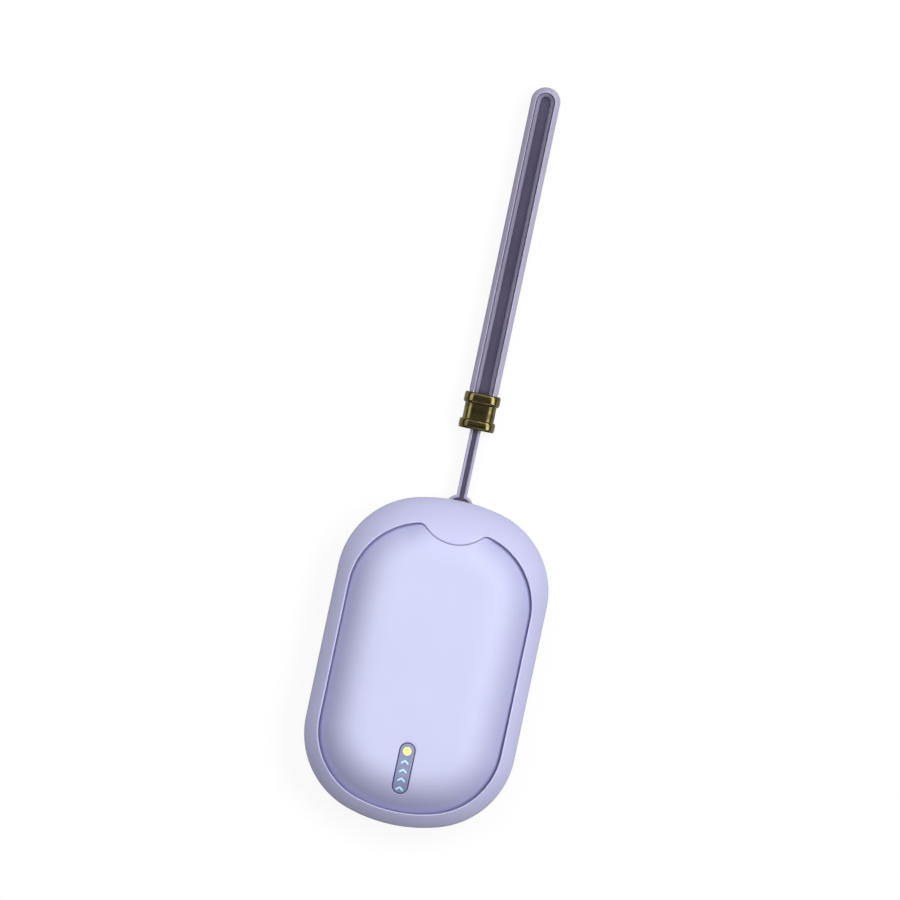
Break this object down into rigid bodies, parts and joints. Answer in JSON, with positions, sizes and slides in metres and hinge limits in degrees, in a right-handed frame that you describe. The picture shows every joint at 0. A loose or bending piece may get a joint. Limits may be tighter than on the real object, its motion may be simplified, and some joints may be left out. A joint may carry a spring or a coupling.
{
  "type": "rechargeable hand warmer",
  "caption": "Palm-size rechargeable hand warmer: pebble-shaped case with a domed front pad, a lit power key, a charging port and a swinging wrist strap.",
  "frame": {"origin": "on the table under the middle of the case, which lies on its back", "axes": "+Y along the case's length towards the wrist strap, +Z out of the front pad, +X to the right when looking at the front"},
  "size_m": [0.06, 0.2122, 0.0218],
  "materials": {
    "pad_lavender": "soft-touch satin",
    "case_lavender": "soft-touch satin",
    "key_smoke": "translucent smoke",
    "light_yellow": "translucent",
    "light_cyan": "translucent",
    "board_green": "solder mask",
    "chip_black": "moulded",
    "port_steel": "satin",
    "plunger_white": "moulded",
    "lamp_yellow": "clear lens",
    "lamp_cyan": "clear lens",
    "cell_foil": "pouch foil",
    "tape_white": "tape",
    "foam_grey": "open-cell foam",
    "plate_aluminium": "rolled sheet",
    "film_amber": "polyimide film",
    "pad_grey": "gap pad",
    "bead_black": "epoxy bead",
    "wire_red": "wire insulation",
    "wire_black": "wire insulation",
    "band_lavender": "pigmented strap leather",
    "lining_plum": "strap lining",
    "ferrule_brass": "antique brass"
  },
  "bodies": {
    "case": {"front_cover": "pad_lavender", "front_frame": "case_lavender", "rear_shell": "case_lavender", "main_board": "board_green", "protection_board": "board_green", "board_chips": "chip_black", "power_inductor": "chip_black", "switch_body": "chip_black", "light_shield": "chip_black", "usb_c_tongue": "chip_black", "usb_c_shell": "port_steel", "lanyard_pin": "port_steel", "case_screws": "port_steel", "board_screws": "port_steel", "lead_header": "plunger_white", "status_led": "lamp_yellow", "level_leds": "lamp_cyan", "battery_cell_lower": "cell_foil", "battery_cell_upper": "cell_foil", "cell_tape": "tape_white", "rear_foam": "foam_grey", "front_foam": "foam_grey", "rear_heat_plate": "plate_aluminium", "front_heat_plate": "plate_aluminium", "rear_heater_film": "film_amber", "front_heater_film": "film_amber", "thermal_pad": "pad_grey", "thermistor": "bead_black", "battery_lead_red": "wire_red", "front_heater_leads": "wire_red", "battery_lead_black": "wire_black", "rear_heater_leads": "wire_black", "thermistor_leads": "wire_black"},
    "power_key": {"power_key": "key_smoke", "key_dot_light_pipe": "light_yellow", "key_chevron_light_pipes": "light_cyan"},
    "switch_plunger": {"switch_plunger": "plunger_white"},
    "lanyard": {"neck_band": "band_lavender", "neck_lining": "lining_plum", "ferrule": "ferrule_brass", "ferrule_wedge": "ferrule_brass", "loop_band": "band_lavender", "loop_lining": "lining_plum"}
  },
  "joints": [
    {"name": "key_press", "type": "slide", "parent": "case", "child": "power_key", "axis": [0, 0, -1], "range_m": [0, 0.0003], "stiffness_N_per_m": 3000},
    {"name": "switch_press", "type": "slide", "parent": "case", "child": "switch_plunger", "axis": [0, 0, -1], "range_m": [0, 0.0003]},
    {"name": "lanyard_swing", "type": "hinge", "parent": "case", "child": "lanyard", "pos_m": [0, 0.0442, 0.0043], "axis": [0, 0, 1], "range_deg": [-45, 45]}
  ],
  "couplings": [
    {"joint": "switch_press", "follows": "key_press", "ratio": 1}
  ]
}
